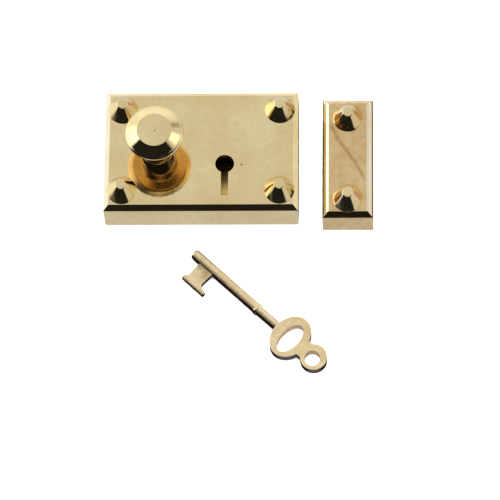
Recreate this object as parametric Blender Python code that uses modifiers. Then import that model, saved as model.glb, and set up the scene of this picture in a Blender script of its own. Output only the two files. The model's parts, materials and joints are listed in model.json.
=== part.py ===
"""Rim night latch laid out as a kit: brass case with knob, spring latch and key-thrown deadbolt,
its keep, and its key. Metres, +Z up. The origin is the centre of the case's back face,
X runs towards the keep, Y up the door and Z out of the case's front."""

import math

import bmesh
import bpy
from mathutils import Matrix, Vector

MM = 0.001
GAP = 0.3 * MM

# Case
CASE_WIDTH = 76.0 * MM
CASE_HEIGHT = 50.0 * MM
CASE_DEPTH = 16.5 * MM
CASE_WALL = 2.0 * MM
CASE_FRONT = 2.5 * MM
CHAMFER = 2.0 * MM
CASE_HALF_X = CASE_WIDTH / 2
CASE_HALF_Y = CASE_HEIGHT / 2
CAVITY_TOP = CASE_DEPTH - CASE_FRONT
PLATE_THICKNESS = 1.6 * MM

# Corner studs
STUD_X = 30.8 * MM
STUD_Y = 17.0 * MM
STUD_BASE_RADIUS = 5.9 * MM
STUD_TOP_RADIUS = 2.1 * MM
STUD_HEIGHT = 6.4 * MM
STUD_PILLAR_RADIUS = 2.2 * MM

# Back plate screws and the case bosses that take them
SCREW_X = 20.0 * MM
SCREW_Y = 20.4 * MM
BOSS_RADIUS = 2.8 * MM
SCREW_HEAD_RADIUS = 2.2 * MM
SCREW_HEAD_DEPTH = 1.3 * MM
SCREW_SHANK_RADIUS = 1.1 * MM
SCREW_LENGTH = 7.5 * MM

# Knob
KNOB_X = -17.3 * MM
KNOB_PROJECTION = 20.5 * MM
KNOB_RIM_RADIUS = 11.4 * MM
KNOB_DISC_RADIUS = 6.7 * MM
KNOB_NECK_RADIUS = 6.4 * MM
KNOB_JOURNAL_RADIUS = 3.7 * MM
SPINDLE_SIDE = 4.0 * MM

# Bolts: both heads are drawn back flush with the case edge, and travel by THROW
THROW = 10.0 * MM
BOLT_FLOOR = 4.7 * MM
BOLT_CEILING = 12.1 * MM
BOLT_REAR_X = 22.0 * MM
LATCH_LOW_Y = 1.0 * MM
LATCH_HIGH_Y = 12.0 * MM
DEADBOLT_LOW_Y = -12.0 * MM
DEADBOLT_HIGH_Y = -1.0 * MM
NOSE_SLOPE = 6.0 * MM

# Follower: the horn's flank is an involute, so the latch travels in proportion to the knob
FOLLOWER_RADIUS = 5.5 * MM
KNOB_TURN = math.radians(60.0)
INVOLUTE_BASE = THROW / KNOB_TURN
CONTACT_START = 1.0 * MM
CONTACT_END = CONTACT_START + THROW
HORN_FLOOR = 9.6 * MM
HORN_CEILING = 12.4 * MM
HORN_TIP_ANGLE = math.radians(126.0)
HORN_BACK_ANGLE = math.radians(95.0)

# Latch tail, with the lug that the horn pushes
ARM_LOW_Y = 6.5 * MM
ARM_FLOOR = 7.0 * MM
ARM_CEILING = 9.2 * MM
LUG_FACE_X = KNOB_X - CONTACT_END - GAP
LUG_THICKNESS = 3.0 * MM
LATCH_STUD_X = -9.0 * MM
LATCH_STUD_Y = 9.25 * MM
GUIDE_RADIUS = 1.2 * MM
SLOT_HALF_WIDTH = GUIDE_RADIUS + GAP

# Latch spring
SPRING_Y = 15.0 * MM
SPRING_Z = 9.1 * MM
SPRING_RADIUS = 1.75 * MM
SPRING_WIRE = 0.3 * MM
SPRING_TURNS = 8
SPRING_START_X = -6.7 * MM
TAB_X = 9.0 * MM
TAB_HIGH_Y = 17.2 * MM

# Key hole and deadbolt tail
KEYHOLE_X = 9.3 * MM
KEYHOLE_Y = -5.9 * MM
KEYHOLE_RADIUS = 3.7 * MM
KEYHOLE_SLOT_WIDTH = 2.8 * MM
KEYHOLE_SLOT_REACH = 13.3 * MM
BIT_RADIUS = 10.7 * MM
TAIL_FLOOR = 2.1 * MM
TAIL_CEILING = 4.3 * MM
TAIL_LEFT_X = -6.0 * MM
TAIL_LOW_Y = 3.5 * MM
TAIL_HIGH_Y = 11.5 * MM
TALON_RIGHT_X = KEYHOLE_X - THROW / 2
TALON_WIDTH = 3.4 * MM
TALON_TOP_Y = KEYHOLE_Y + BIT_RADIUS + GAP
TAIL_STUD_X = 16.0 * MM
TAIL_STUD_Y = 7.7 * MM

# Tumbler
TUMBLER_PIVOT = (-4.0 * MM, 14.5 * MM)
TUMBLER_FLOOR = 4.7 * MM
TUMBLER_CEILING = 6.3 * MM
STUMP_X = 13.0 * MM

# Keep
KEEP_X = 57.4 * MM
KEEP_Y = -2.5 * MM
KEEP_WIDTH = 19.9 * MM
KEEP_HEIGHT = 49.8 * MM
KEEP_DEPTH = 14.7 * MM
KEEP_STUDS_Y = -2.9 * MM
KEEP_WALL = 2.0 * MM
KEEP_MOUTH_HALF = 14.0 * MM
KEEP_MOUTH_Y = 0.0

# Key, in its own frame: X from the tip along the shank, bit towards -Y
KEY_TIP = (-2.3 * MM, -38.5 * MM)
KEY_ANGLE = math.radians(-43.0)
KEY_SHANK_RADIUS = 2.0 * MM
KEY_COLLAR_RADIUS = 2.24 * MM
KEY_TIP_X = -1.0 * MM
KEY_SHOULDER_X = 34.0 * MM
KEY_BOW_X = 51.1 * MM
KEY_BOW_HALF_LENGTH = 9.2 * MM
KEY_BOW_HALF_WIDTH = 7.2 * MM
KEY_BOW_HOLE_HALF_LENGTH = 6.7 * MM
KEY_BOW_HOLE_OFFSET = (0.4 * MM, -0.6 * MM)
KEY_BOW_HOLE_HALF_WIDTH = 3.6 * MM
KEY_RING_X = 63.4 * MM
KEY_RING_RADIUS = 5.3 * MM
KEY_RING_HOLE = 3.1 * MM
KEY_RING_HOLE_OFFSET = -0.7 * MM
KEY_WEB_HALF_WIDTH = 3.6 * MM
KEY_BOW_THICKNESS = 4.2 * MM
KEY_BIT_THICKNESS = 2.4 * MM

ROUND_STEPS = 40
SMALL_STEPS = 20


def clear_scene():
    for obj in list(bpy.data.objects):
        bpy.data.objects.remove(obj)


def collection(name):
    made = bpy.data.collections.new(name)
    bpy.context.scene.collection.children.link(made)
    return made


clear_scene()
PARTS = collection("rim_night_latch")
CUTTERS = collection("cutters")


def material(name, colour, roughness, metallic=1.0):
    made = bpy.data.materials.new(name)
    made.use_nodes = True
    shader = made.node_tree.nodes["Principled BSDF"]
    shader.inputs["Base Color"].default_value = (*colour, 1.0)
    shader.inputs["Roughness"].default_value = roughness
    shader.inputs["Metallic"].default_value = metallic
    return made


BRASS = (0.80, 0.60, 0.30)
DULL_BRASS = (0.62, 0.46, 0.22)
STEEL = (0.46, 0.45, 0.43)
SPRING_STEEL = (0.30, 0.30, 0.31)


def add(name, mesh, group, look=None):
    obj = bpy.data.objects.new(name, mesh)
    group.objects.link(obj)
    if look:
        mesh.materials.append(material(name + "_finish", *look))
    return obj


def from_bmesh(name, bm, group, look=None):
    mesh = bpy.data.meshes.new(name)
    bm.to_mesh(mesh)
    bm.free()
    return add(name, mesh, group, look)


def box(name, low, high, group=CUTTERS, look=None):
    """A box between two corners."""
    bm = bmesh.new()
    bmesh.ops.create_cube(bm, size=1.0)
    for vert in bm.verts:
        vert.co = Vector([lo + (hi - lo) * (c + 0.5) for lo, hi, c in zip(low, high, vert.co)])
    return from_bmesh(name, bm, group, look)


def cylinder(
    name, centre, radius, low, high, group=CUTTERS, look=None, top_radius=None, steps=SMALL_STEPS
):
    """A cylinder or cone about a line along Z through centre."""
    bm = bmesh.new()
    top = radius if top_radius is None else top_radius
    place = Matrix.Translation((centre[0], centre[1], (low + high) / 2))
    bmesh.ops.create_cone(
        bm, cap_ends=True, segments=steps, radius1=radius, radius2=top, depth=high - low, matrix=place
    )
    return from_bmesh(name, bm, group, look)


def as_mesh(curve_object, group, look=None):
    """The curve's evaluated shape as a welded mesh object; the curve is removed."""
    bpy.context.view_layer.update()
    graph = bpy.context.evaluated_depsgraph_get()
    mesh = bpy.data.meshes.new_from_object(curve_object.evaluated_get(graph))
    bm = bmesh.new()
    bm.from_mesh(mesh)
    bmesh.ops.remove_doubles(bm, verts=bm.verts, dist=1e-6)
    bmesh.ops.recalc_face_normals(bm, faces=bm.faces)
    bm.to_mesh(mesh)
    bm.free()
    name = curve_object.name
    place = curve_object.matrix_world.copy()
    bpy.data.objects.remove(curve_object)
    obj = add(name, mesh, group, look)
    obj.matrix_world = place
    return obj


def plate(name, outlines, low, high, group=CUTTERS, look=None):
    """A flat piece between two heights; the first outline is its edge and the rest are holes."""
    curve = bpy.data.curves.new(name, "CURVE")
    curve.dimensions = "2D"
    curve.fill_mode = "BOTH"
    curve.extrude = (high - low) / 2
    for outline in outlines:
        spline = curve.splines.new("POLY")
        spline.points.add(len(outline) - 1)
        for point, (x, y) in zip(spline.points, outline):
            point.co = (x, y, 0.0, 1.0)
        spline.use_cyclic_u = True
    obj = bpy.data.objects.new(name, curve)
    obj.location.z = (low + high) / 2
    group.objects.link(obj)
    return as_mesh(obj, group, look)


def turned(name, centre, profile, group=CUTTERS, look=None, steps=ROUND_STEPS):
    """A turned piece; profile holds (radius, height) points from the top down, on the axis at both ends."""
    mesh = bpy.data.meshes.new(name)
    points = [(r, 0.0, z) for r, z in profile]
    mesh.from_pydata(points, [(i, i + 1) for i in range(len(points) - 1)], [])
    obj = add(name, mesh, group, look)
    obj.location = (centre[0], centre[1], 0.0)
    screw = obj.modifiers.new("turn", "SCREW")
    screw.steps = steps
    screw.render_steps = steps
    screw.use_merge_vertices = True
    screw.merge_threshold = 1e-6
    return obj


def tube(name, points, radius, group, look, resolution=2):
    """A wire through the points."""
    curve = bpy.data.curves.new(name, "CURVE")
    curve.dimensions = "3D"
    curve.bevel_depth = radius
    curve.bevel_resolution = resolution
    curve.use_fill_caps = True
    spline = curve.splines.new("POLY")
    spline.points.add(len(points) - 1)
    for point, place in zip(spline.points, points):
        point.co = (*place, 1.0)
    obj = bpy.data.objects.new(name, curve)
    group.objects.link(obj)
    return as_mesh(obj, group, look)


def combine(obj, other, operation):
    """Adds a Boolean with another object, which becomes a hidden helper."""
    other.hide_render = True
    other.display_type = "WIRE"
    boolean = obj.modifiers.new(other.name, "BOOLEAN")
    boolean.operation = operation
    boolean.solver = "EXACT"
    boolean.object = other


def cut(obj, *cutters):
    for cutter in cutters:
        combine(obj, cutter, "DIFFERENCE")


def join(obj, *others):
    for other in others:
        combine(obj, other, "UNION")


def smooth(obj):
    obj.data.shade_smooth()
    obj.data.set_sharp_from_angle(angle=math.radians(35.0))


def arc(centre, radius, start, end, steps):
    """Points along an arc, angles in degrees."""
    turns = [math.radians(start + (end - start) * i / steps) for i in range(steps + 1)]
    return [(centre[0] + radius * math.cos(t), centre[1] + radius * math.sin(t)) for t in turns]


def oval(centre, half_x, half_y, steps):
    turns = [2 * math.pi * i / steps for i in range(steps)]
    return [(centre[0] + half_x * math.cos(t), centre[1] + half_y * math.sin(t)) for t in turns]


def rectangle(low, high):
    return [(low[0], low[1]), (high[0], low[1]), (high[0], high[1]), (low[0], high[1])]


def slot_outline(low_x, high_x, y, half_width, steps=6):
    """A slot along X with round ends, whose end centres are at low_x and high_x."""
    return arc((high_x, y), half_width, -90, 90, steps) + arc((low_x, y), half_width, 90, 270, steps)


def casting(name, centre, width, height, depth, look):
    """A block standing on z = 0 whose front edges are chamfered."""
    bm = bmesh.new()
    bmesh.ops.create_cube(bm, size=1.0)
    for vert in bm.verts:
        x, y, z = vert.co
        vert.co = (centre[0] + x * width, centre[1] + y * height, (z + 0.5) * depth)
    front = [edge for edge in bm.edges if all(vert.co.z > depth / 2 for vert in edge.verts)]
    bmesh.ops.bevel(
        bm, geom=front, offset=CHAMFER, offset_type="OFFSET", segments=1, profile=0.5, affect="EDGES"
    )
    bmesh.ops.recalc_face_normals(bm, faces=bm.faces)
    return from_bmesh(name, bm, PARTS, look)


def stud_places():
    return [(x, y) for y in (STUD_Y, -STUD_Y) for x in (-STUD_X, STUD_X)]


def screw_places():
    return [(x, y) for y in (SCREW_Y, -SCREW_Y) for x in (-SCREW_X, SCREW_X)]


def keep_stud_places():
    return [(KEEP_X, KEEP_STUDS_Y + STUD_Y), (KEEP_X, KEEP_STUDS_Y - STUD_Y)]


def make_case():
    case = casting("case_shell", (0, 0), CASE_WIDTH, CASE_HEIGHT, CASE_DEPTH, (BRASS, 0.2))
    inner = (CASE_HALF_X - CASE_WALL, CASE_HALF_Y - CASE_WALL)
    hollow = box("case_hollow", (-inner[0], -inner[1], -GAP), (*inner, CAVITY_TOP))
    for number, place in enumerate(screw_places(), 1):
        boss = cylinder(f"boss_{number}", place, BOSS_RADIUS, PLATE_THICKNESS + GAP, CASE_DEPTH)
        cut(hollow, boss)
    cut(case, hollow)
    for number, place in enumerate(screw_places(), 1):
        hole = cylinder(f"boss_hole_{number}", place, SCREW_SHANK_RADIUS + GAP, -GAP, SCREW_LENGTH + GAP)
        cut(case, hole)
    for number, place in enumerate(stud_places(), 1):
        hole = cylinder(f"stud_hole_{number}", place, STUD_PILLAR_RADIUS + GAP, 0, CASE_DEPTH + GAP)
        cut(case, hole)
    journal_radius = KNOB_JOURNAL_RADIUS + GAP
    through = CASE_DEPTH + GAP
    journal_hole = cylinder("journal_hole", (KNOB_X, 0), journal_radius, 0, through, steps=ROUND_STEPS)
    side = CASE_HALF_X + GAP
    inside = CASE_HALF_X - CASE_WALL - GAP
    latch_opening = box(
        "latch_opening",
        (inside, LATCH_LOW_Y - GAP, BOLT_FLOOR - GAP),
        (side, LATCH_HIGH_Y + GAP, BOLT_CEILING + GAP),
    )
    deadbolt_opening = box(
        "deadbolt_opening",
        (inside, DEADBOLT_LOW_Y - GAP, BOLT_FLOOR - GAP),
        (side, DEADBOLT_HIGH_Y + GAP, BOLT_CEILING + GAP),
    )
    keyhole_round = cylinder(
        "keyhole_round",
        (KEYHOLE_X, KEYHOLE_Y),
        KEYHOLE_RADIUS,
        CAVITY_TOP - GAP,
        through,
        steps=ROUND_STEPS,
    )
    half = KEYHOLE_SLOT_WIDTH / 2
    keyhole_slot = box(
        "keyhole_slot",
        (KEYHOLE_X - half, KEYHOLE_Y - KEYHOLE_SLOT_REACH, CAVITY_TOP - GAP),
        (KEYHOLE_X + half, KEYHOLE_Y, through),
    )
    cut(case, journal_hole, latch_opening, deadbolt_opening, keyhole_round, keyhole_slot)


def make_back_plate():
    inset = CASE_WALL + GAP
    half = (CASE_HALF_X - inset, CASE_HALF_Y - inset)
    hole_radius = STUD_PILLAR_RADIUS + GAP
    holes = [oval(place, hole_radius, hole_radius, SMALL_STEPS) for place in stud_places()]
    outline = rectangle((-half[0], -half[1]), half)
    back = plate("back_plate", [outline, *holes], 0, PLATE_THICKNESS, PARTS, (DULL_BRASS, 0.35))
    for number, place in enumerate(screw_places(), 1):
        low_radius = SCREW_HEAD_RADIUS + 2 * GAP
        sink = cylinder(
            f"countersink_{number}", place, low_radius, -GAP, PLATE_THICKNESS + GAP,
            top_radius=SCREW_SHANK_RADIUS + GAP,
        )
        cut(back, sink)


def make_screws():
    for number, place in enumerate(screw_places(), 1):
        profile = [
            (0, SCREW_LENGTH),
            (SCREW_SHANK_RADIUS * 0.7, SCREW_LENGTH),
            (SCREW_SHANK_RADIUS, SCREW_LENGTH - 0.6 * MM),
            (SCREW_SHANK_RADIUS, SCREW_HEAD_DEPTH),
            (SCREW_HEAD_RADIUS, 0.1 * MM),
            (SCREW_HEAD_RADIUS, 0),
            (0, 0),
        ]
        screw = turned(f"back_plate_screw_{number}", place, profile, PARTS, (BRASS, 0.3), SMALL_STEPS)
        half = 0.3 * MM
        driver_slot = box(
            f"driver_slot_{number}",
            (place[0] - 2 * SCREW_HEAD_RADIUS, place[1] - half, -GAP),
            (place[0] + 2 * SCREW_HEAD_RADIUS, place[1] + half, 0.6 * MM),
        )
        cut(screw, driver_slot)
        smooth(screw)


def make_stud(name, place, face):
    """A cone-headed stud whose pillar runs through the casting to the back."""
    foot = face + GAP
    profile = [
        (0, face + STUD_HEIGHT),
        (STUD_TOP_RADIUS, face + STUD_HEIGHT),
        (STUD_BASE_RADIUS, foot + 0.4 * MM),
        (STUD_BASE_RADIUS, foot),
        (STUD_PILLAR_RADIUS, foot),
        (STUD_PILLAR_RADIUS, 0),
        (0, 0),
    ]
    smooth(turned(name, place, profile, PARTS, (BRASS, 0.2), steps=28))


def make_knob():
    face = CASE_DEPTH
    front = face + KNOB_PROJECTION
    rim = KNOB_RIM_RADIUS
    neck = KNOB_NECK_RADIUS
    profile = [
        (0, front),
        (KNOB_DISC_RADIUS, front),
        (rim - 1.2 * MM, front - 2.3 * MM),
        (rim - 0.4 * MM, front - 2.8 * MM),
        (rim, front - 3.4 * MM),
        (rim, front - 4.1 * MM),
        (rim - 0.35 * MM, front - 4.9 * MM),
        (rim - 0.9 * MM, front - 5.4 * MM),
        (rim - 1.8 * MM, front - 5.8 * MM),
        (neck, front - 5.9 * MM),
        (neck, face + GAP),
        (KNOB_JOURNAL_RADIUS, face + GAP),
        (KNOB_JOURNAL_RADIUS, CAVITY_TOP - GAP),
        (0, CAVITY_TOP - GAP),
    ]
    knob = turned("knob", (KNOB_X, 0), profile, PARTS, (BRASS, 0.18))
    half = SPINDLE_SIDE / 2 + GAP
    socket = box(
        "knob_socket",
        (KNOB_X - half, -half, CAVITY_TOP - 2 * GAP),
        (KNOB_X + half, half, face + 8.0 * MM),
    )
    tapped_hole = across_y("knob_tapped_hole", 1.2 * MM, half - GAP, 2 * neck)
    cut(knob, socket, tapped_hole)
    smooth(knob)


def across_y(name, radius, low, high, group=CUTTERS, look=None):
    """A cylinder along +Y from the knob's axis, at the height of the knob's grub screw."""
    bm = bmesh.new()
    middle = Vector((KNOB_X, (low + high) / 2, CASE_DEPTH + 4.0 * MM))
    place = Matrix.Translation(middle) @ Matrix.Rotation(math.pi / 2, 4, "X")
    bmesh.ops.create_cone(
        bm, cap_ends=True, segments=16, radius1=radius, radius2=radius, depth=high - low, matrix=place
    )
    return from_bmesh(name, bm, group, look)


def make_grub_screw():
    half = SPINDLE_SIDE / 2
    outer_end = KNOB_NECK_RADIUS - 1.0 * MM
    grub = across_y("knob_grub_screw", 0.9 * MM, half + GAP, outer_end, PARTS, (STEEL, 0.35))
    socket = across_y("grub_screw_socket", 0.4 * MM, KNOB_NECK_RADIUS - 2.2 * MM, 2 * KNOB_NECK_RADIUS)
    cut(grub, socket)


def make_spindle():
    half = SPINDLE_SIDE / 2
    spindle = box(
        "knob_spindle",
        (KNOB_X - half, -half, 2.2 * MM),
        (KNOB_X + half, half, CASE_DEPTH + 7.5 * MM),
        PARTS,
        (STEEL, 0.35),
    )
    flange = cylinder("spindle_flange", (KNOB_X, 0), 4.2 * MM, 1.95 * MM, 2.75 * MM)
    join(spindle, flange)


def make_follower():
    hub_low = 3.1 * MM
    hub_high = CAVITY_TOP - 2 * GAP
    hub = cylinder(
        "follower", (KNOB_X, 0), FOLLOWER_RADIUS, hub_low, hub_high, PARTS, (DULL_BRASS, 0.35), steps=32
    )
    flank = []
    steps = 8
    for i in range(steps + 1):
        contact = CONTACT_START + THROW * i / steps
        turn = (CONTACT_END - contact) / INVOLUTE_BASE
        x = KNOB_X - contact * math.cos(turn) - INVOLUTE_BASE * math.sin(turn)
        y = -contact * math.sin(turn) + INVOLUTE_BASE * math.cos(turn)
        flank.append((x, y))
    root = [
        (KNOB_X + 0.45 * (flank[0][0] - KNOB_X), 0.45 * flank[0][1]),
        (KNOB_X, 3.0 * MM),
    ]
    back = []
    tip_radius = 0.97 * math.hypot(CONTACT_END, INVOLUTE_BASE)
    for reach, turn in ((tip_radius, HORN_TIP_ANGLE), (FOLLOWER_RADIUS, HORN_BACK_ANGLE)):
        back.append((KNOB_X + reach * math.cos(turn), reach * math.sin(turn)))
    horn = plate("follower_horn", [root[:1] + flank + back + root[1:]], HORN_FLOOR, HORN_CEILING)
    join(hub, horn)
    flat = box(
        "follower_flat",
        (KNOB_X - 2 * FOLLOWER_RADIUS, -2 * FOLLOWER_RADIUS, 0),
        (KNOB_X + 2 * FOLLOWER_RADIUS, -FOLLOWER_RADIUS + 0.8 * MM, 8.0 * MM),
    )
    half = SPINDLE_SIDE / 2 + GAP
    square = box("follower_square", (KNOB_X - half, -half, 0), (KNOB_X + half, half, CASE_DEPTH))
    cut(hub, flat, square)


def make_follower_spring():
    """A leaf spring under the follower's flat, held by a folded foot at its left end."""
    leaf_y = -FOLLOWER_RADIUS - 0.5 * MM
    line = [
        (KNOB_X - 15.2 * MM, leaf_y - 6.0 * MM),
        (KNOB_X - 14.2 * MM, leaf_y - 2.0 * MM),
        (KNOB_X - 11.7 * MM, leaf_y - 0.6 * MM),
        (KNOB_X - 5.2 * MM, leaf_y),
        (KNOB_X + 3.8 * MM, leaf_y),
        (KNOB_X + 8.3 * MM, leaf_y - 1.2 * MM),
    ]
    outline = line + [(x, y - 0.5 * MM) for x, y in reversed(line)]
    plate("follower_spring", [outline], 3.5 * MM, 7.5 * MM, PARTS, (SPRING_STEEL, 0.3))


def bolt_head(name, low_y, high_y, look):
    return box(name, (BOLT_REAR_X, low_y, BOLT_FLOOR), (CASE_HALF_X, high_y, BOLT_CEILING), PARTS, look)


def make_latch():
    latch = bolt_head("latch_bolt", LATCH_LOW_Y, LATCH_HIGH_Y, (BRASS, 0.25))
    depth = BOLT_CEILING - BOLT_FLOOR
    slope = math.hypot(NOSE_SLOPE, depth)
    nose = box("nose_cutter", (0, LATCH_LOW_Y - GAP, -2 * depth), (2 * slope, LATCH_HIGH_Y + GAP, 0))
    nose.location = (CASE_HALF_X - NOSE_SLOPE, 0, BOLT_FLOOR)
    nose.rotation_euler = (0, -math.atan2(depth - 0.6 * MM, NOSE_SLOPE), 0)
    left = LUG_FACE_X - LUG_THICKNESS
    arm_outline = rectangle((left, ARM_LOW_Y), (BOLT_REAR_X + GAP, LATCH_HIGH_Y))
    guide = slot_outline(LATCH_STUD_X - THROW, LATCH_STUD_X, LATCH_STUD_Y, SLOT_HALF_WIDTH)
    arm = plate("latch_arm", [arm_outline, guide], ARM_FLOOR, ARM_CEILING)
    lug = box("latch_lug", (left, ARM_LOW_Y, ARM_FLOOR), (LUG_FACE_X, LATCH_HIGH_Y, HORN_CEILING))
    tab = box(
        "latch_tab",
        (TAB_X, ARM_LOW_Y + GAP, ARM_FLOOR),
        (TAB_X + 2.0 * MM, TAB_HIGH_Y, SPRING_Z + 2.1 * MM),
    )
    cut(latch, nose)
    join(latch, arm, lug, tab)


def make_latch_spring():
    steps_per_turn = 12
    steps = SPRING_TURNS * steps_per_turn
    end_x = TAB_X - GAP - SPRING_WIRE
    start_x = SPRING_START_X + SPRING_WIRE
    points = []
    for i in range(steps + 1):
        turn = 2 * math.pi * i / steps_per_turn
        x = start_x + (end_x - start_x) * i / steps
        y = SPRING_Y + SPRING_RADIUS * math.cos(turn)
        z = SPRING_Z + SPRING_RADIUS * math.sin(turn)
        points.append((x, y, z))
    tube("latch_spring", points, SPRING_WIRE, PARTS, (SPRING_STEEL, 0.3), resolution=1)


def make_spring_post():
    """A post on the back plate with the rod that keeps the latch spring straight."""
    face_x = SPRING_START_X - GAP
    post = box(
        "latch_spring_post",
        (face_x - 2.0 * MM, SPRING_Y - 2.0 * MM, PLATE_THICKNESS + GAP),
        (face_x, SPRING_Y + 2.0 * MM, SPRING_Z + 2.2 * MM),
        PARTS,
        (DULL_BRASS, 0.35),
    )
    rod = cylinder("spring_rod", (0, 0), 0.9 * MM, 0, TAB_X - GAP - face_x, steps=12)
    rod.rotation_euler = (0, math.pi / 2, 0)
    rod.location = (face_x - GAP, SPRING_Y, SPRING_Z)
    join(post, rod)


def make_guide_stud(name, x, y, height):
    """A plain round guide stud standing on the back plate."""
    foot = PLATE_THICKNESS + GAP
    profile = [(0, height), (GUIDE_RADIUS, height), (GUIDE_RADIUS, foot), (0, foot)]
    smooth(turned(name, (x, y), profile, PARTS, (STEEL, 0.35), SMALL_STEPS))


def make_deadbolt():
    deadbolt = bolt_head("deadbolt", DEADBOLT_LOW_Y, DEADBOLT_HIGH_Y, (BRASS, 0.25))
    web_right = BOLT_REAR_X + 3.0 * MM
    rear = box(
        "deadbolt_rear",
        (BOLT_REAR_X, DEADBOLT_LOW_Y, TAIL_FLOOR),
        (web_right, DEADBOLT_HIGH_Y, BOLT_CEILING),
    )
    talon_left = TALON_RIGHT_X - TALON_WIDTH
    outline = [
        (TAIL_LEFT_X, TAIL_LOW_Y),
        (talon_left, TAIL_LOW_Y),
        (talon_left, TALON_TOP_Y),
        (TALON_RIGHT_X, TALON_TOP_Y),
        (TALON_RIGHT_X, TAIL_LOW_Y),
        (BOLT_REAR_X - 1.0 * MM, TAIL_LOW_Y),
        (BOLT_REAR_X - 1.0 * MM, DEADBOLT_LOW_Y + GAP),
        (web_right - GAP, DEADBOLT_LOW_Y + GAP),
        (web_right - GAP, TAIL_HIGH_Y),
        (TAIL_LEFT_X, TAIL_HIGH_Y),
    ]
    guide = slot_outline(TAIL_STUD_X - THROW, TAIL_STUD_X, TAIL_STUD_Y, SLOT_HALF_WIDTH)
    tail = plate("deadbolt_tail", [outline, guide], TAIL_FLOOR, TAIL_CEILING)
    join(deadbolt, rear, tail)


def make_tumbler():
    """A lever on its pivot, with a belly that the bit lifts and a stump that rests on the bolt's tail."""
    px, py = TUMBLER_PIVOT
    boss = arc((px, py), 2.5 * MM, 60, 290, 10)
    belly = arc((KEYHOLE_X, 16.5 * MM), 12.6 * MM, 235, 305, 10)
    outline = boss + belly + [(18.0 * MM, 12.4 * MM), (17.0 * MM, 14.2 * MM), (9.0 * MM, 15.4 * MM)]
    hole = oval((px, py), GUIDE_RADIUS + GAP, GUIDE_RADIUS + GAP, SMALL_STEPS)
    lever = plate("tumbler", [outline, hole], TUMBLER_FLOOR, TUMBLER_CEILING, PARTS, (DULL_BRASS, 0.35))
    stump = box(
        "tumbler_stump",
        (STUMP_X - 1.0 * MM, TAIL_HIGH_Y + GAP, TAIL_FLOOR + GAP),
        (STUMP_X + 1.0 * MM, TAIL_HIGH_Y + 1.7 * MM, TUMBLER_CEILING - GAP),
    )
    join(lever, stump)


def make_tumbler_spring():
    """A leaf from above the tumbler's pivot to the case's upper wall, which presses the tumbler down."""
    px, py = TUMBLER_PIVOT
    line = [
        (px - 1.0 * MM, py + 3.6 * MM),
        (px + 3.5 * MM, py + 3.4 * MM),
        (px + 9.0 * MM, py + 4.6 * MM),
        (px + 14.0 * MM, py + 6.4 * MM),
        (px + 17.5 * MM, py + 7.2 * MM),
    ]
    outline = line + [(x, y - 0.4 * MM) for x, y in reversed(line)]
    plate("tumbler_spring", [outline], TUMBLER_FLOOR, TUMBLER_CEILING, PARTS, (SPRING_STEEL, 0.3))


def make_ward(name, low, high):
    """A ring about the key's axis, open where the bit enters."""
    centre = (KEYHOLE_X, KEYHOLE_Y)
    open_half = 25
    outer = arc(centre, 6.2 * MM, -90 + open_half, 270 - open_half, 24)
    inner = arc(centre, 5.2 * MM, 270 - open_half, -90 + open_half, 24)
    plate(name, [outer + inner], low, high, PARTS, (DULL_BRASS, 0.35))


def make_keep():
    keep = casting("keep_box", (KEEP_X, KEEP_Y), KEEP_WIDTH, KEEP_HEIGHT, KEEP_DEPTH, (BRASS, 0.2))
    half_x = KEEP_WIDTH / 2 - KEEP_WALL
    half_y = KEEP_HEIGHT / 2 - KEEP_WALL
    hollow = box(
        "keep_hollow",
        (KEEP_X - half_x, KEEP_Y - half_y, -GAP),
        (KEEP_X + half_x, KEEP_Y + half_y, KEEP_DEPTH - KEEP_WALL),
    )
    mouth = box(
        "keep_mouth",
        (KEEP_X - KEEP_WIDTH, KEEP_MOUTH_Y - KEEP_MOUTH_HALF, -GAP),
        (KEEP_X, KEEP_MOUTH_Y + KEEP_MOUTH_HALF, KEEP_DEPTH - KEEP_WALL - GAP),
    )
    cut(keep, hollow, mouth)
    for number, place in enumerate(keep_stud_places(), 1):
        hole = cylinder(f"keep_stud_hole_{number}", place, STUD_PILLAR_RADIUS + GAP, 0, KEEP_DEPTH + GAP)
        cut(keep, hole)


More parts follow.
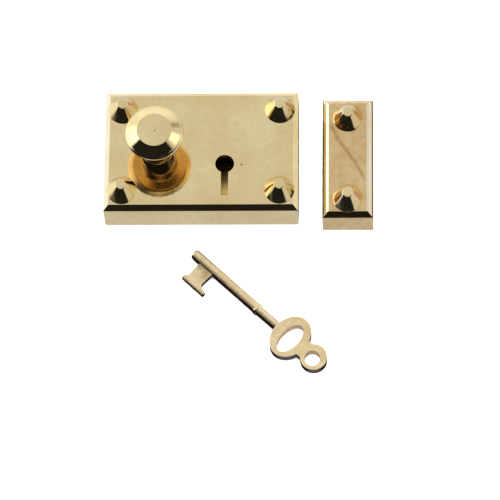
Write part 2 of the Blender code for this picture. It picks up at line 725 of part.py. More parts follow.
def make_key():
    """A key with a round shank and shoulder, a T-shaped bit, an oval bow and a small hanging ring."""
    r = KEY_SHANK_RADIUS
    bow_end_x = KEY_BOW_X - KEY_BOW_HALF_WIDTH + 1.2 * MM
    profile = [
        (0, bow_end_x),
        (r * 0.95, bow_end_x),
        (r * 0.95, KEY_SHOULDER_X + 0.3 * MM),
        (KEY_COLLAR_RADIUS, KEY_SHOULDER_X - 0.2 * MM),
        (KEY_COLLAR_RADIUS, KEY_SHOULDER_X - 0.9 * MM),
        (r, KEY_SHOULDER_X - 1.6 * MM),
        (r, KEY_TIP_X + 1.3 * MM),
        (r * 0.85, KEY_TIP_X + 0.4 * MM),
        (r * 0.4, KEY_TIP_X),
        (0, KEY_TIP_X),
    ]
    key = turned("key", (0, 0), profile, PARTS, (BRASS, 0.25), SMALL_STEPS)
    lift = Matrix.Translation((*KEY_TIP, KEY_COLLAR_RADIUS))
    lay = lift @ Matrix.Rotation(KEY_ANGLE, 4, "Z")
    key.matrix_world = lay @ Matrix.Rotation(math.pi / 2, 4, "Y")
    half = KEY_BIT_THICKNESS / 2
    bit_outline = [
        (4.0 * MM, 0),
        (4.2 * MM, -7.6 * MM),
        (3.9 * MM, -8.5 * MM),
        (2.9 * MM, -9.1 * MM),
        (2.9 * MM, -BIT_RADIUS),
        (14.1 * MM, -BIT_RADIUS),
        (14.1 * MM, -9.2 * MM),
        (11.5 * MM, -8.6 * MM),
        (10.8 * MM, -7.6 * MM),
        (10.8 * MM, 0),
    ]
    bit = plate("key_bit", [bit_outline], -half, half)
    half_bow = KEY_BOW_THICKNESS / 2
    bow_centre = (KEY_BOW_X, 0)
    hole_centre = (KEY_BOW_X + KEY_BOW_HOLE_OFFSET[0], KEY_BOW_HOLE_OFFSET[1])
    bow_hole = oval(hole_centre, KEY_BOW_HOLE_HALF_WIDTH, KEY_BOW_HOLE_HALF_LENGTH, 28)
    bow_edge = oval(bow_centre, KEY_BOW_HALF_WIDTH, KEY_BOW_HALF_LENGTH, 36)
    bow = plate("key_bow", [bow_edge, bow_hole], -half_bow, half_bow)
    ring_edge = oval((KEY_RING_X, 0), KEY_RING_RADIUS, KEY_RING_RADIUS, 28)
    ring_hole = oval((KEY_RING_X, KEY_RING_HOLE_OFFSET), KEY_RING_HOLE, KEY_RING_HOLE, 20)
    ring = plate("key_ring", [ring_edge, ring_hole], -half_bow, half_bow)
    web_left = KEY_BOW_X + KEY_BOW_HALF_WIDTH - 1.8 * MM
    web_right = KEY_RING_X - KEY_RING_HOLE - 0.4 * MM
    web_outline = rectangle((web_left, -KEY_WEB_HALF_WIDTH), (web_right, KEY_WEB_HALF_WIDTH))
    web = plate("key_web", [web_outline], -half_bow + 0.02 * MM, half_bow - 0.02 * MM)
    for piece in (bit, bow, ring, web):
        piece.matrix_world = lay
        join(key, piece)


def main():
    make_case()
    make_back_plate()
    make_screws()
    for number, place in enumerate(stud_places(), 1):
        make_stud(f"corner_stud_{number}", place, CASE_DEPTH)
    make_knob()
    make_grub_screw()
    make_spindle()
    make_follower()
    make_follower_spring()
    make_latch()
    make_latch_spring()
    make_spring_post()
    make_guide_stud("latch_guide_stud", LATCH_STUD_X, LATCH_STUD_Y, HORN_FLOOR - GAP)
    make_deadbolt()
    make_guide_stud("deadbolt_guide_stud", TAIL_STUD_X, TAIL_STUD_Y, TUMBLER_FLOOR - GAP)
    make_tumbler()
    make_guide_stud("tumbler_pivot", *TUMBLER_PIVOT, TUMBLER_CEILING + GAP)
    make_tumbler_spring()
    make_ward("front_ward", CAVITY_TOP - 1.8 * MM, CAVITY_TOP - GAP)
    make_ward("back_ward", PLATE_THICKNESS + GAP, PLATE_THICKNESS + 1.8 * MM)
    make_keep()
    for number, place in enumerate(keep_stud_places(), 1):
        make_stud(f"keep_stud_{number}", place, KEEP_DEPTH)
    make_key()


main()
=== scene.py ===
"""Looks of the rim night latch kit: polished cast brass lying on white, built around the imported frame."""

import json
import math

import bmesh
import bpy
from mathutils import Matrix, Vector


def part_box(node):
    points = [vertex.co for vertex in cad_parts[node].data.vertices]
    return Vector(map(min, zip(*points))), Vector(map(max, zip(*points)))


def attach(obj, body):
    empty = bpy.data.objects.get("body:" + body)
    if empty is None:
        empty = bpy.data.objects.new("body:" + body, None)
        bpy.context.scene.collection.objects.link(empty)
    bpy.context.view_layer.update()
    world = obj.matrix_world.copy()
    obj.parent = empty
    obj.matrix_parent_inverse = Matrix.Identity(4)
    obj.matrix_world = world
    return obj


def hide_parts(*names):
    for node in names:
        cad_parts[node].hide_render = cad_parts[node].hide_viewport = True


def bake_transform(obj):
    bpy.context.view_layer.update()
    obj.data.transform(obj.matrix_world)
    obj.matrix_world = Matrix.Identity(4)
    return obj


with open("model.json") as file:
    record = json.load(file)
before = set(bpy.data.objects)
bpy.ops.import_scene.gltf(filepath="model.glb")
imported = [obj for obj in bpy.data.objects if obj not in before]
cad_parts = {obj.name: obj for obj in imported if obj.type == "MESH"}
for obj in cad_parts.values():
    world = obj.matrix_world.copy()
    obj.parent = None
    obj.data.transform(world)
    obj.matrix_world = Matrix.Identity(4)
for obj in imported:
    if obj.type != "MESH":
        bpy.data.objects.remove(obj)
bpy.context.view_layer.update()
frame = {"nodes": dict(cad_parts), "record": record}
MM = 0.001


# ---------------------------------------------------------------- places read from the frame

def centre_of(node):
    low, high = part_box(node)
    return [(a + b) / 2 for a, b in zip(low, high)]


def joint_place(name):
    joints = frame["record"]["behaviour"]["joints"]
    return next(joint["pos_m"] for joint in joints if joint["name"] == name)


def opening_centre(name):
    openings = frame["record"]["physics"]["openings"]
    low, high = next(opening["box_m"] for opening in openings if opening["name"] == name)
    return (Vector(low) + Vector(high)) / 2


CASE_LOW, CASE_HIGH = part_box("case_shell")
KEEP_LOW, KEEP_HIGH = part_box("keep_box")
KNOB_LOW, KNOB_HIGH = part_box("knob")
KNOB_AXIS = joint_place("knob_turn")
FACE = CASE_HIGH[2]
KEEP_FACE = KEEP_HIGH[2]
KEEP_CENTRE = centre_of("keep_box")

# The key's own plan: distances along it from its tip, and across it from its shank.
KEY_TURN = math.radians(-43.0)
KEY_ALONG = Vector((math.cos(KEY_TURN), math.sin(KEY_TURN), 0.0))
KEY_ACROSS = Vector((-KEY_ALONG.y, KEY_ALONG.x, 0.0))
RING_HOLE_ALONG = 63.4 * MM
RING_HOLE_ACROSS = -0.7 * MM
RING_HOLE_RADIUS = 3.3 * MM
BOW_HOLE_ALONG = 51.5 * MM
BOW_HOLE_ACROSS = -0.6 * MM
BOW_HOLE_HALF_LENGTH = 3.85 * MM
BOW_HOLE_HALF_WIDTH = 6.95 * MM
SHANK_END = 43.0 * MM
SHANK_HALF_HEIGHT = 2.2 * MM
SHANK_SKIN = (1.2 * MM, 2.4 * MM)
BIT_END = 15.0 * MM
BIT_EDGE_ACROSS = -10.6 * MM
KEY_TIP = opening_centre("key_ring_hole") - KEY_ALONG * RING_HOLE_ALONG - KEY_ACROSS * RING_HOLE_ACROSS
KEY_AXIS = Vector((KEY_TIP.x, KEY_TIP.y, centre_of("key")[2]))

# Marks left on the brass by casting and polishing.
LINE_START = (KEEP_CENTRE[0] - 7.1 * MM, KEEP_CENTRE[1] + 14.3 * MM, 0.0)
LINE_END = (KEEP_CENTRE[0] + 6.6 * MM, KEEP_CENTRE[1] - 9.9 * MM, 0.0)
LINE_WIDTH = 1.1 * MM
PIT_PLACE = (15.9 * MM, -6.3 * MM, FACE)
PIT_RADIUS = 0.45 * MM
DISH_CENTRE = (KNOB_AXIS[0] - 4.3 * MM, KNOB_AXIS[1] - 6.2 * MM, FACE)
DISH_CURVE = 200.0 * MM
DISH_REACH = 24.0 * MM


# ---------------------------------------------------------------- materials

def link(tree, source, target):
    tree.links.new(source, target)


def object_place(tree):
    return tree.nodes.new("ShaderNodeTexCoord").outputs["Object"]


def noise_node(tree, coords, scale, detail=3.0, stretch=(1.0, 1.0, 1.0), rough=0.5):
    mapping = tree.nodes.new("ShaderNodeMapping")
    mapping.inputs["Scale"].default_value = stretch
    link(tree, coords, mapping.inputs["Vector"])
    made = tree.nodes.new("ShaderNodeTexNoise")
    made.inputs["Scale"].default_value = scale
    made.inputs["Detail"].default_value = detail
    made.inputs["Roughness"].default_value = rough
    link(tree, mapping.outputs["Vector"], made.inputs["Vector"])
    return made.outputs["Fac"]


def span(tree, value, low, high, to_low, to_high):
    """Maps value from low..high to to_low..to_high, clamped."""
    made = tree.nodes.new("ShaderNodeMapRange")
    for name, number in (("From Min", low), ("From Max", high), ("To Min", to_low), ("To Max", to_high)):
        made.inputs[name].default_value = number
    link(tree, value, made.inputs["Value"])
    return made.outputs["Result"]


def metal(
    name,
    tones,
    roughness,
    wave=0.0,
    wave_scale=90.0,
    grain=0.0,
    grain_scale=900.0,
    scratch=0.0,
    metallic=1.0,
):
    """Metal drifting between two tones, with casting waves, a fine grain and hairline scratches."""
    made = bpy.data.materials.new(name)
    made.use_nodes = True
    tree = made.node_tree
    shader = tree.nodes["Principled BSDF"]
    shader.inputs["Metallic"].default_value = metallic
    coords = object_place(tree)
    blotch = noise_node(tree, coords, 55.0, 4.0)
    mix = tree.nodes.new("ShaderNodeMix")
    mix.data_type = "RGBA"
    mix.inputs["A"].default_value = (*tones[0], 1.0)
    mix.inputs["B"].default_value = (*tones[1], 1.0)
    link(tree, span(tree, blotch, 0.35, 0.68, 0.0, 1.0), mix.inputs["Factor"])
    link(tree, mix.outputs["Result"], shader.inputs["Base Color"])
    smear = noise_node(tree, coords, 160.0, 5.0)
    link(tree, span(tree, smear, 0.3, 0.7, roughness[0], roughness[1]), shader.inputs["Roughness"])
    normal = None
    layers = (
        (wave, 1.2 * MM, (wave_scale, 2.0)),
        (grain, 0.05 * MM, (grain_scale, 4.0)),
        (scratch, 0.03 * MM, (700.0, 2.0, (0.06, 1.0, 1.0))),
    )
    for strength, distance, pattern in layers:
        if not strength:
            continue
        bump = tree.nodes.new("ShaderNodeBump")
        bump.inputs["Strength"].default_value = strength
        bump.inputs["Distance"].default_value = distance
        link(tree, noise_node(tree, coords, *pattern), bump.inputs["Height"])
        if normal:
            link(tree, normal, bump.inputs["Normal"])
        normal = bump.outputs["Normal"]
    if normal:
        link(tree, normal, shader.inputs["Normal"])
    return made


POLISHED_TONES = ((0.94, 0.79, 0.45), (0.85, 0.67, 0.34))
# Paler tones: a painted highlight for the side edges.
HIGHLIGHT_TONES = ((0.95, 0.88, 0.66), (0.90, 0.80, 0.55))
CASE_BRASS = metal(
    "polished_cast_brass", POLISHED_TONES, (0.05, 0.08), 0.02, 60.0, 0.10, 1400.0, scratch=0.08
)
KEEP_BRASS = metal(
    "polished_keep_brass",
    ((0.90, 0.70, 0.38), (0.80, 0.58, 0.29)),
    (0.08, 0.14), 0.03, 60.0, 0.15, 1400.0, scratch=0.12,
)
TURNED_BRASS = metal(
    "polished_turned_brass", POLISHED_TONES, (0.05, 0.10), grain=0.15, grain_scale=1600.0
)
# Paler copies of the brass for side edges and the keep studs' left sides, as painted highlight; the keep's
# copy also carries a painted shade line at the foot of its rolled edges.
EDGE_HIGHLIGHT_BRASS = metal("painted_highlight_edge_brass", HIGHLIGHT_TONES, (0.08, 0.14), 0.02, 60.0, 0.10)
KEEP_EDGE_HIGHLIGHT_AND_SHADE_BRASS = metal("keep_edge_painted_highlight_and_shade_brass", HIGHLIGHT_TONES, (0.08, 0.14), 0.02, 60.0, 0.10)
KEY_BRASS = metal(
    "key_brass",
    ((0.85, 0.70, 0.44), (0.73, 0.56, 0.29)),
    (0.12, 0.20), 0.12, 220.0, 0.2, 1500.0, metallic=0.9,
)
# Dull brown for the key's hole walls: a lighter painted shade than its other sides.
HOLE_BRASS = metal(
    "key_hole_brass", ((0.48, 0.36, 0.22), (0.38, 0.27, 0.15)), (0.45, 0.60), grain=0.2, metallic=0.2
)
# Darker brass for the knob's neck: painted shade under the knob's head.
SHADED_NECK_BRASS = metal(
    "painted_shade_neck_brass", ((0.58, 0.44, 0.24), (0.50, 0.37, 0.19)), (0.05, 0.10), grain=0.15
)
# A warmer copy of the brass for the knob's underside, a painted reflection tone for its mirrored image on
# the case's face.
UNDERSIDE_REFLECTION_BRASS = metal(
    "knob_underside_painted_reflection_brass", ((1.0, 0.74, 0.42), (0.95, 0.66, 0.35)), (0.20, 0.28), 0.04, 200.0, 0.15
)
INSIDE_BRASS = metal(
    "rough_inner_brass", ((0.30, 0.22, 0.11), (0.22, 0.15, 0.07)), (0.5, 0.6), grain=0.3
)
PLAIN_BRASS = metal("plain_brass", ((0.76, 0.54, 0.26), (0.66, 0.45, 0.20)), (0.20, 0.32), grain=0.3)
PLATE_BRASS = metal(
    "back_plate_brass", ((1.0, 0.67, 0.25), (0.93, 0.58, 0.18)), (0.20, 0.32), grain=0.3
)
STEEL = metal("turned_steel", ((0.46, 0.45, 0.43), (0.36, 0.35, 0.34)), (0.28, 0.42), grain=0.3)
SPRING_STEEL = metal("spring_steel", ((0.26, 0.26, 0.27), (0.16, 0.16, 0.18)), (0.22, 0.36))


def math_node(tree, operation, a, b=None):
    made = tree.nodes.new("ShaderNodeMath")
    made.operation = operation
    for socket, value in zip(made.inputs, (a, b)):
        if isinstance(value, float):
            socket.default_value = value
        elif value:
            link(tree, value, socket)
    return made.outputs["Value"]


def dot_node(tree, vector, axis):
    made = tree.nodes.new("ShaderNodeVectorMath")
    made.operation = "DOT_PRODUCT"
    link(tree, vector, made.inputs[0])
    made.inputs[1].default_value = axis
    return made.outputs["Value"]


def distance_node(tree, vector, place):
    made = tree.nodes.new("ShaderNodeVectorMath")
    made.operation = "DISTANCE"
    link(tree, vector, made.inputs[0])
    made.inputs[1].default_value = place
    return made.outputs["Value"]


def darken(look, mask, tone):
    """Multiplies the material's base colour by tone where mask is 1."""
    tree = look.node_tree
    socket = tree.nodes["Principled BSDF"].inputs["Base Color"]
    before = socket.links[0].from_socket
    mix = tree.nodes.new("ShaderNodeMix")
    mix.data_type = "RGBA"
    mix.blend_type = "MULTIPLY"
    mix.inputs["B"].default_value = (*tone, 1.0)
    link(tree, before, mix.inputs["A"])
    link(tree, mask, mix.inputs["Factor"])
    link(tree, mix.outputs["Result"], socket)


def polishing_line(look, start, end, width):
    """A soft brown line left across a face by polishing."""
    tree = look.node_tree
    coords = object_place(tree)
    run = Vector(end) - Vector(start)
    length = run.length
    run.normalize()
    across = Vector((-run.y, run.x, 0.0))
    edge = float(across.dot(Vector(start)))
    offset = math_node(tree, "SUBTRACT", dot_node(tree, coords, across), edge)
    wobble = span(tree, noise_node(tree, coords, 90.0), 0.3, 0.7, -0.5 * MM, 0.5 * MM)
    offset = math_node(tree, "ABSOLUTE", math_node(tree, "ADD", offset, wobble))
    near = span(tree, offset, 0.1 * width, width, 0.75, 0.0)
    middle = float(run.dot(Vector(start)) + length / 2)
    distance = math_node(tree, "SUBTRACT", dot_node(tree, coords, run), middle)
    distance = math_node(tree, "ABSOLUTE", distance)
    within = span(tree, distance, 0.42 * length, 0.55 * length, 1.0, 0.0)
    darken(look, math_node(tree, "MULTIPLY", near, within), (0.66, 0.55, 0.42))


def pit(look, place, radius):
    """A small dark spot."""
    tree = look.node_tree
    coords = object_place(tree)
    spot = span(tree, distance_node(tree, coords, place), 0.5 * radius, radius, 1.0, 0.0)
    darken(look, spot, (0.25, 0.2, 0.15))


def paint_side_shade(look, tone):
    """Paints the upright sides of a flat piece dark as painted shade, leaving its top as it is."""
    tree = look.node_tree
    normal = tree.nodes.new("ShaderNodeTexCoord").outputs["Normal"]
    upright = span(tree, dot_node(tree, normal, (0.2, 0.35, 0.92)), 0.45, 0.75, 1.0, 0.0)
    darken(look, upright, tone)


def paint_foot_shade(look, low_x, high_x, tone):
    """A thin dark line of painted shade at the foot of the rolled-over edges on the left and right."""
    tree = look.node_tree
    coords = object_place(tree)
    middle = (low_x + high_x) / 2
    half = (high_x - low_x) / 2
    across = math_node(tree, "SUBTRACT", dot_node(tree, coords, (1.0, 0.0, 0.0)), middle)
    across = math_node(tree, "ABSOLUTE", across)
    darken(look, span(tree, across, half - 0.65 * MM, half - 0.35 * MM, 0.0, 1.0), tone)


def dish(look, centre, curve, reach):
    """Shades a face as very slightly hollow about a point, and as flat again beyond reach."""
    tree = look.node_tree
    coords = object_place(tree)
    share = math_node(tree, "MULTIPLY", distance_node(tree, coords, centre), 1.0 / reach)
    squared = math_node(tree, "MULTIPLY", share, share)
    rise = math_node(tree, "DIVIDE", squared, math_node(tree, "ADD", squared, 1.0))
    bump = tree.nodes.new("ShaderNodeBump")
    bump.inputs["Strength"].default_value = 1.0
    bump.inputs["Distance"].default_value = reach * reach / (2 * curve)
    link(tree, rise, bump.inputs["Height"])
    socket = tree.nodes["Principled BSDF"].inputs["Normal"]
    link(tree, socket.links[0].from_socket, bump.inputs["Normal"])
    link(tree, bump.outputs["Normal"], socket)


def mottle(look, scale, strength):
    """Small warm spots, as on a casting polished by hand."""
    tree = look.node_tree
    coords = object_place(tree)
    spots = noise_node(tree, coords, scale, 5.0, rough=0.6)
    darken(look, span(tree, spots, 0.45, 0.72, 0.0, strength), (0.78, 0.62, 0.44))


def paint_bit_edge_shade(look):
    """Darkens the bit's far edge as painted shade along its lower side."""
    tree = look.node_tree
    coords = object_place(tree)
    to_axis = float(KEY_ACROSS.dot(KEY_AXIS))
    to_tip = float(KEY_ALONG.dot(KEY_AXIS))
    across = math_node(tree, "SUBTRACT", dot_node(tree, coords, KEY_ACROSS), to_axis)
    along = math_node(tree, "SUBTRACT", dot_node(tree, coords, KEY_ALONG), to_tip)
    edge = span(tree, across, BIT_EDGE_ACROSS, BIT_EDGE_ACROSS + 0.9 * MM, 1.0, 0.0)
    on_bit = span(tree, along, BIT_END, BIT_END + 1.0 * MM, 1.0, 0.0)
    darken(look, math_node(tree, "MULTIPLY", edge, on_bit), (0.20, 0.13, 0.08))


# Painted shade on the key's upright sides.
paint_side_shade(KEY_BRASS, (0.05, 0.03, 0.015))
# Painted shade: a thin dark line at the foot of the keep's rolled edges.
paint_foot_shade(KEEP_EDGE_HIGHLIGHT_AND_SHADE_BRASS, KEEP_LOW[0], KEEP_HIGH[0], (0.25, 0.25, 0.20))
dish(CASE_BRASS, DISH_CENTRE, DISH_CURVE, DISH_REACH)
for look, scale, strength in (
    (CASE_BRASS, 500.0, 0.22),
    (KEEP_BRASS, 380.0, 0.60),
    (KEEP_BRASS, 130.0, 0.35),
    (KEY_BRASS, 330.0, 0.50),
):
    mottle(look, scale, strength)
polishing_line(KEEP_BRASS, LINE_START, LINE_END, LINE_WIDTH)
pit(CASE_BRASS, PIT_PLACE, PIT_RADIUS)
# Painted shade along the bit's lower edge.
paint_bit_edge_shade(KEY_BRASS)


# ---------------------------------------------------------------- shapes

def finish_piece(obj, look, body, slot, *replaced, sharp=35.0):
    obj.data.materials.clear()
    obj.data.materials.append(look)
    obj.data.shade_smooth()
    if sharp:
        obj.data.set_sharp_from_angle(angle=math.radians(sharp))
    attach(obj, body)
    if replaced:
        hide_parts(*replaced)


def new_object(name, mesh):
    obj = bpy.data.objects.new(name, mesh)
    bpy.context.scene.collection.objects.link(obj)
    return obj


def baked(obj):
    """Applies the object's modifiers to its mesh."""
    graph = bpy.context.evaluated_depsgraph_get()
    graph.update()
    mesh = bpy.data.meshes.new_from_object(obj.evaluated_get(graph))
    obj.modifiers.clear()
    obj.data = mesh
    return obj


def lathe(name, centre, profile, steps=96):
    """A turned solid; profile holds (radius, height) points from the top down, on the axis at both ends."""
    bm = bmesh.new()
    x, y = centre[:2]
    turns = [2 * math.pi * i / steps for i in range(steps)]
    rings = []
    for radius, height in profile:
        if radius < 1e-7:
            places = [(x, y, height)]
        else:
            places = [(x + radius * math.cos(t), y + radius * math.sin(t), height) for t in turns]
        rings.append([bm.verts.new(place) for place in places])
    for upper, lower in zip(rings, rings[1:]):
        for i in range(steps):
            j = (i + 1) % steps
            corners = [ring[k % len(ring)] for ring, k in ((upper, i), (lower, i), (lower, j), (upper, j))]
            bm.faces.new(list(dict.fromkeys(corners)))
    bmesh.ops.recalc_face_normals(bm, faces=bm.faces)
    mesh = bpy.data.meshes.new(name)
    bm.to_mesh(mesh)
    bm.free()
    return new_object(name, mesh)


def rounded(points, radius, steps=4):
    """The profile with each inner corner rounded to about the given radius."""
    made = [points[0]]
    for before, here, after in zip(points, points[1:], points[2:]):
        p, a, b = Vector(here), Vector(before), Vector(after)
        to_a, to_b = a - p, b - p
        reach = min(radius, to_a.length * 0.45, to_b.length * 0.45)
        start, end = p + to_a.normalized() * reach, p + to_b.normalized() * reach
        for i in range(steps + 1):
            t = i / steps
            spot = start * (1 - t) ** 2 + p * 2 * t * (1 - t) + end * t ** 2
            made.append((spot.x, spot.y))
    made.append(points[-1])
    return made


def rolls_over(edge, top, plain_left):
    """Whether an edge is one of the front's long sides, apart from the lower one left of plain_left."""
    start = edge.verts[0].co
    along_y = abs((edge.verts[1].co - start).normalized().y) > 0.99
    if not along_y or edge.calc_length() <= 30 * MM or start.z <= top - 4 * MM:
        return False
    return plain_left is None or start.x >= plain_left or start.z >= top - 1.0 * MM


def refined(node, width, segments=2, name=None, roll_over=None, plain_left=None):
    """A copy of a node with whole flat faces and eased edges, its long sides rolled over wider."""
    mesh = frame["nodes"][node].data.copy()
    bm = bmesh.new()
    bm.from_mesh(mesh)
    bmesh.ops.remove_doubles(bm, verts=bm.verts, dist=2e-6)
    bmesh.ops.dissolve_limit(bm, angle_limit=math.radians(1.0), verts=bm.verts, edges=bm.edges)
    weight = bm.edges.layers.float.new("bevel_weight_edge")
    widest = max(width, roll_over or 0.0)
    top = max(vert.co.z for vert in bm.verts)
    for edge in bm.edges:
        if len(edge.link_faces) != 2 or edge.calc_face_angle() < math.radians(28.0):
            continue
        wide = roll_over and rolls_over(edge, top, plain_left)
        edge[weight] = (roll_over if wide else width) / widest
    bm.to_mesh(mesh)
    bm.free()
    obj = new_object(name or node + "_surface", mesh)
    bevel = obj.modifiers.new("eased", "BEVEL")
    bevel.width = widest
    bevel.segments = segments
    bevel.limit_method = "WEIGHT"
    mesh.shade_smooth()
    weighted = obj.modifiers.new("flat_faces", "WEIGHTED_NORMAL")
    weighted.mode = "FACE_AREA"
    weighted.weight = 100
    return baked(obj)


def paint_edge_highlights(block, top, look, both):
    """Gives the sloping left edge of a casting's front, or both its side edges, a paler copy of the brass
    as a painted highlight.
    """
    block.data.materials.append(look)
    highlighted = len(block.data.materials) - 1
    for face in block.data.polygons:
        lean = abs(face.normal.x) if both else -face.normal.x
        if lean > 0.15 and face.normal.z > 0.01 and face.center.z > top - 3.0 * MM:
            face.material_index = highlighted


EASED_EDGE = 0.25 * MM
CASE_ROLL_OVER = 1.0 * MM
KEEP_ROLL_OVER = 1.6 * MM
CASE_INSIDE_MARGIN = 1.9 * MM
CASE_INSIDE_DEPTH = 2.4 * MM

case = refined("case_shell", EASED_EDGE, 4, "case_casting", CASE_ROLL_OVER)
finish_piece(case, CASE_BRASS, "case", "polished_brass", "case_shell", sharp=None)
case.data.materials.append(INSIDE_BRASS)
for face in case.data.polygons:
    x, y, z = face.center
    within = abs(x) < CASE_HIGH[0] - CASE_INSIDE_MARGIN and abs(y) < CASE_HIGH[1] - CASE_INSIDE_MARGIN
    if within and z < FACE - CASE_INSIDE_DEPTH:
        face.material_index = 1
paint_edge_highlights(case, FACE, EDGE_HIGHLIGHT_BRASS, both=False)

# The foot of the keep's left chamfer is not rolled over, which keeps the mouth clear for the bolts.
keep = refined(
    "keep_box", EASED_EDGE, 4, "keep_casting", KEEP_ROLL_OVER, plain_left=KEEP_LOW[0] + 2.5 * MM
)
finish_piece(keep, KEEP_BRASS, "keep", "polished_brass", "keep_box", sharp=None)
paint_edge_highlights(keep, KEEP_FACE, KEEP_EDGE_HIGHLIGHT_AND_SHADE_BRASS, both=True)


def stud(node, face, body):
    """A cone-headed stud on its shank; on the keep its left side gets a paler copy of the brass as a
    painted highlight.
    """
    tip = 2.1 * MM
    shank = 2.2 * MM
    low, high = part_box(node)
    centre = centre_of(node)
    base = (high[0] - low[0]) / 2
    profile = [
        (0, high[2]),
        (tip, high[2]),
        (base - 0.15 * MM, face + 0.25 * MM),
        (base, face + 0.02 * MM),
        (shank, face + 0.02 * MM),
        (shank, low[2]),
        (0, low[2]),
    ]
    obj = lathe(node + "_turned", centre, rounded(profile, 0.25 * MM), 72)
    obj.visible_glossy = False
    finish_piece(obj, TURNED_BRASS, body, "polished_brass", node)
    if body != "keep":
        return
    # Painted highlight: the keep studs' left sides take the paler brass.
    obj.data.materials.append(EDGE_HIGHLIGHT_BRASS)
    for side in obj.data.polygons:
        if side.normal.x < -0.3:
            side.material_index = 1


for number in range(1, 5):
    stud(f"corner_stud_{number}", FACE, "case")
for number in range(1, 3):
    stud(f"keep_stud_{number}", KEEP_FACE, "keep")


def make_knob():
    """The knob, with a fine centre mark in its front, a chamfered rim with a bead below, and its neck."""
    top = KNOB_HIGH[2]
    rim = (KNOB_HIGH[0] - KNOB_LOW[0]) / 2
    neck = 6.4 * MM
    journal = 3.7 * MM
    profile = [
        (0, top),
        (0.4 * MM, top - 0.03 * MM),
        (0.6 * MM, top - 0.12 * MM),
        (0.8 * MM, top - 0.08 * MM),
        (6.75 * MM, top - 0.08 * MM),
        (7.0 * MM, top - 0.25 * MM),
        (rim - 1.2 * MM, top - 2.3 * MM),
        (rim - 0.95 * MM, top - 2.65 * MM),
        (rim - 0.4 * MM, top - 2.8 * MM),
        (rim, top - 3.4 * MM),
        (rim, top - 4.1 * MM),
        (rim - 0.5 * MM, top - 4.5 * MM),
        (rim - 0.35 * MM, top - 4.9 * MM),
        (rim - 0.9 * MM, top - 5.4 * MM),
        (rim - 1.8 * MM, top - 5.8 * MM),
        (neck, top - 5.9 * MM),
        (neck, FACE + 0.03 * MM),
        (journal, FACE + 0.03 * MM),
        (journal, KNOB_LOW[2]),
        (0, KNOB_LOW[2]),
    ]
    knob = lathe("knob_turned", KNOB_AXIS, rounded(profile, 0.3 * MM), 120)
    finish_piece(knob, TURNED_BRASS, "knob", "polished_brass", "knob")
    # The underside takes a painted reflection tone, and the neck takes painted shade.
    knob.data.materials.append(UNDERSIDE_REFLECTION_BRASS)
    knob.data.materials.append(SHADED_NECK_BRASS)
    for face in knob.data.polygons:
        if face.normal.z < -0.4 and face.center.z > top - 6.1 * MM:
            face.material_index = 1
        elif face.center.z < top - 6.0 * MM:
            face.material_index = 2


make_knob()


def flatten_shank(obj):
    """Turns the round shank's section into a rounded square of the same height, as on a cast key."""
    for vert in obj.data.vertices:
        away = vert.co - KEY_AXIS
        u, v, w = away.dot(KEY_ALONG), away.dot(KEY_ACROSS), away.z
        reach = math.hypot(v, w)
        if not (-1.0 * MM < u < SHANK_END and SHANK_SKIN[0] < reach < SHANK_SKIN[1]):
            continue
        spread = 1.0 / (abs(v / reach) ** 4 + abs(w / reach) ** 4) ** 0.25
        vert.co = KEY_AXIS + KEY_ALONG * u + KEY_ACROSS * (v * spread)
        vert.co.z += max(-SHANK_HALF_HEIGHT, min(SHANK_HALF_HEIGHT, w * spread))


key_surface = refined("key", 0.35 * MM, 2)
flatten_shank(key_surface)
finish_piece(key_surface, KEY_BRASS, "key", "polished_brass", "key", sharp=None)
# The bow and ring hole walls take the dull brown, a lighter painted shade than the key's other sides.
key_surface.data.materials.append(HOLE_BRASS)
for face in key_surface.data.polygons:
    away = face.center - KEY_AXIS
    along, across = away.dot(KEY_ALONG), away.dot(KEY_ACROSS)
    in_bow = math.hypot(
        (along - BOW_HOLE_ALONG) / BOW_HOLE_HALF_LENGTH, (across - BOW_HOLE_ACROSS) / BOW_HOLE_HALF_WIDTH
    ) < 1.0
    in_ring = math.hypot(along - RING_HOLE_ALONG, across - RING_HOLE_ACROSS) < RING_HOLE_RADIUS
    if abs(face.normal.z) < 0.3 and (in_bow or in_ring):
        face.material_index = 1


def sprung(node):
    """A steel copy of a spring, fixed where it lies in the frame."""
    obj = new_object(node + "_surface", frame["nodes"][node].data.copy())
    obj.data.materials.clear()
    obj.data.materials.append(SPRING_STEEL)
    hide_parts(node)
    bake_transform(obj)


sprung("latch_spring")
sprung("tumbler_spring")

LOOKS = {
    "polished_brass": CASE_BRASS,
    "plain_brass": PLAIN_BRASS,
    "steel": STEEL,
    "spring_steel": SPRING_STEEL,
}
REMADE = ("case_shell", "keep_box", "knob", "key", "latch_spring", "tumbler_spring")
for entry in frame["record"]["subparts"]:
    node = entry["node"]
    if node in REMADE or "corner_stud" in node or "keep_stud" in node:
        continue
    look = LOOKS[entry["material_slot"]]
    if "ward" in node:
        look = INSIDE_BRASS
    elif node == "back_plate":
        look = PLATE_BRASS
    materials = frame["nodes"][node].data.materials
    materials.clear()
    materials.append(look)


# ---------------------------------------------------------------- surroundings

FLOOR_SIZE = 3.0
FLOOR_PLACE = (0.02, -0.03, -0.1 * MM)


def make_floor():
    bpy.ops.mesh.primitive_plane_add(size=FLOOR_SIZE, location=FLOOR_PLACE)
    floor = bpy.context.object
    floor.name = "floor"
    floor.visible_glossy = False
    made = bpy.data.materials.new("pale_floor")
    made.use_nodes = True
    shader = made.node_tree.nodes["Principled BSDF"]
    shader.inputs["Base Color"].default_value = (0.97, 0.97, 0.965, 1.0)
    shader.inputs["Roughness"].default_value = 0.9
    shader.inputs["Specular IOR Level"].default_value = 0.0
    floor.data.materials.append(made)


make_floor()


UP = (0.0, 0.0, 1.0)
DOWN = (0.0, 0.0, -1.0)
FAR = (0.0, 1.0, 0.0)
NEAR = (0.0, -1.0, 0.0)

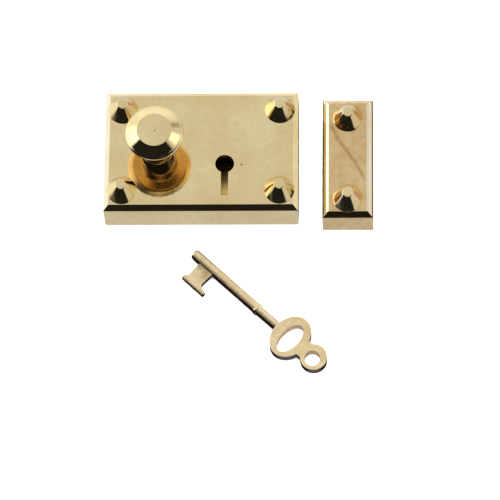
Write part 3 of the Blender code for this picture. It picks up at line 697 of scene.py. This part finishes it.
# Brighter parts of the room: direction, the cosines where each starts and is full, and its strength.
GLOWS = (
    ((-1.0, 0.1, -0.05), 0.35, 0.8, 0.35),
    ((-0.80, 0.22, 0.55), 0.85, 0.95, 0.6),
    ((0.80, 0.06, 0.58), 0.955, 0.98, 0.7),
    ((0.0, 0.95, 0.0), 0.7, 0.95, 0.33),
    ((0.97, 0.24, 0.0), 0.93, 0.98, 0.2),
)
LEAST_LIGHT = 0.016


def make_world():
    """A pale room, dark on the side the brass is seen from, which gives its lower slopes their black."""
    world = bpy.data.worlds.new("studio")
    bpy.context.scene.world = world
    world.use_nodes = True
    tree = world.node_tree
    tree.nodes.clear()
    direction = tree.nodes.new("ShaderNodeTexCoord").outputs["Generated"]

    def times(a, b):
        return math_node(tree, "MULTIPLY", a, b)

    def lobe(axis, low, high, level=1.0):
        """A patch of the room about an axis, from none at cosine low to level at cosine high."""
        toward = dot_node(tree, direction, Vector(axis).normalized())
        return span(tree, toward, low, high, 0.0, level)

    def without(a, b):
        return times(a, span(tree, b, 0.0, 1.0, 1.0, 0.0))

    bright = span(tree, dot_node(tree, direction, UP), -0.9, 0.2, 0.62, 0.70)
    for glow in GLOWS:
        bright = math_node(tree, "ADD", bright, lobe(*glow))
    near_side = lobe((-0.15, -0.97, 0.25), 0.34, 0.44)
    near_side = without(near_side, lobe((0.87, -0.45, -0.15), 0.88, 0.94))
    near_side = times(near_side, lobe(UP, -0.30, -0.16))
    overhead = times(lobe(UP, 0.80, 0.87), lobe(NEAR, -0.29, -0.22))
    overhead = without(overhead, lobe(UP, 0.965, 0.985))
    brown_streak = lobe((0.70, 0.62, 0.35), 0.988, 0.998, 0.45)
    beneath = times(lobe(DOWN, 0.80, 0.90, 0.95), lobe(FAR, -0.30, -0.15))
    low_left = lobe((-0.72, -0.42, -0.55), 0.88, 0.95, 0.95)
    for shade in (near_side, overhead, brown_streak, beneath, low_left):
        bright = without(bright, shade)

    # A warm patch low on the far right tints whatever the brass mirrors there.
    tint = tree.nodes.new("ShaderNodeMix")
    tint.data_type = "RGBA"
    tint.inputs["A"].default_value = (1.0, 1.0, 1.0, 1.0)
    tint.inputs["B"].default_value = (0.80, 0.48, 0.36, 1.0)
    link(tree, lobe((0.84, 0.36, -0.40), 0.90, 0.97), tint.inputs["Factor"])
    light = tree.nodes.new("ShaderNodeBackground")
    link(tree, tint.outputs["Result"], light.inputs["Color"])
    link(tree, math_node(tree, "ADD", bright, LEAST_LIGHT), light.inputs["Strength"])

    seen = tree.nodes.new("ShaderNodeBackground")
    seen.inputs["Color"].default_value = (1.0, 1.0, 0.985, 1.0)
    mix = tree.nodes.new("ShaderNodeMixShader")
    link(tree, tree.nodes.new("ShaderNodeLightPath").outputs["Is Camera Ray"], mix.inputs["Fac"])
    link(tree, light.outputs["Background"], mix.inputs[1])
    link(tree, seen.outputs["Background"], mix.inputs[2])
    out = tree.nodes.new("ShaderNodeOutputWorld")
    link(tree, mix.outputs["Shader"], out.inputs["Surface"])


make_world()


def add_softbox():
    """A wide soft light overhead, left out of the brass's mirror reflections."""
    data = bpy.data.lights.new("overhead_softbox", "AREA")
    data.energy = 70.0
    data.size = 2.0
    obj = bpy.data.objects.new("overhead_softbox", data)
    bpy.context.scene.collection.objects.link(obj)
    place = Vector((0.05, 0.05, 1.2))
    aim = Vector((0.02, -0.03, 0.0))
    obj.location = place
    obj.rotation_euler = (aim - place).to_track_quat("-Z", "Y").to_euler()
    obj.visible_glossy = False


add_softbox()

CAMERA_AZIMUTH = math.radians(5.5)
CAMERA_TILT = math.radians(21.3)
CAMERA_ROLL = math.radians(-5.3)
CAMERA_DISTANCE = 1.5
CAMERA_LENS = 275.6
CAMERA_TARGET = Vector((18.95 * MM, -35.70 * MM, 0.0))


def make_camera():
    """A long lens tilted off the case's front, and rolled a little."""
    data = bpy.data.cameras.new("camera")
    data.sensor_width = 36.0
    data.lens = CAMERA_LENS
    obj = bpy.data.objects.new("camera", data)
    bpy.context.scene.collection.objects.link(obj)
    away = Vector((
        math.sin(CAMERA_TILT) * math.sin(CAMERA_AZIMUTH),
        -math.sin(CAMERA_TILT) * math.cos(CAMERA_AZIMUTH),
        math.cos(CAMERA_TILT),
    ))
    side = (-away).cross(Vector((0, 0, 1))).normalized()
    up = side.cross(-away)
    side, up = (
        side * math.cos(CAMERA_ROLL) + up * math.sin(CAMERA_ROLL),
        up * math.cos(CAMERA_ROLL) - side * math.sin(CAMERA_ROLL),
    )
    turn = Matrix((side, up, away)).transposed().to_4x4()
    obj.matrix_world = Matrix.Translation(CAMERA_TARGET + away * CAMERA_DISTANCE) @ turn
    data.clip_end = 10.0
    bpy.context.scene.camera = obj


make_camera()
bpy.context.scene.view_settings.view_transform = "Standard"
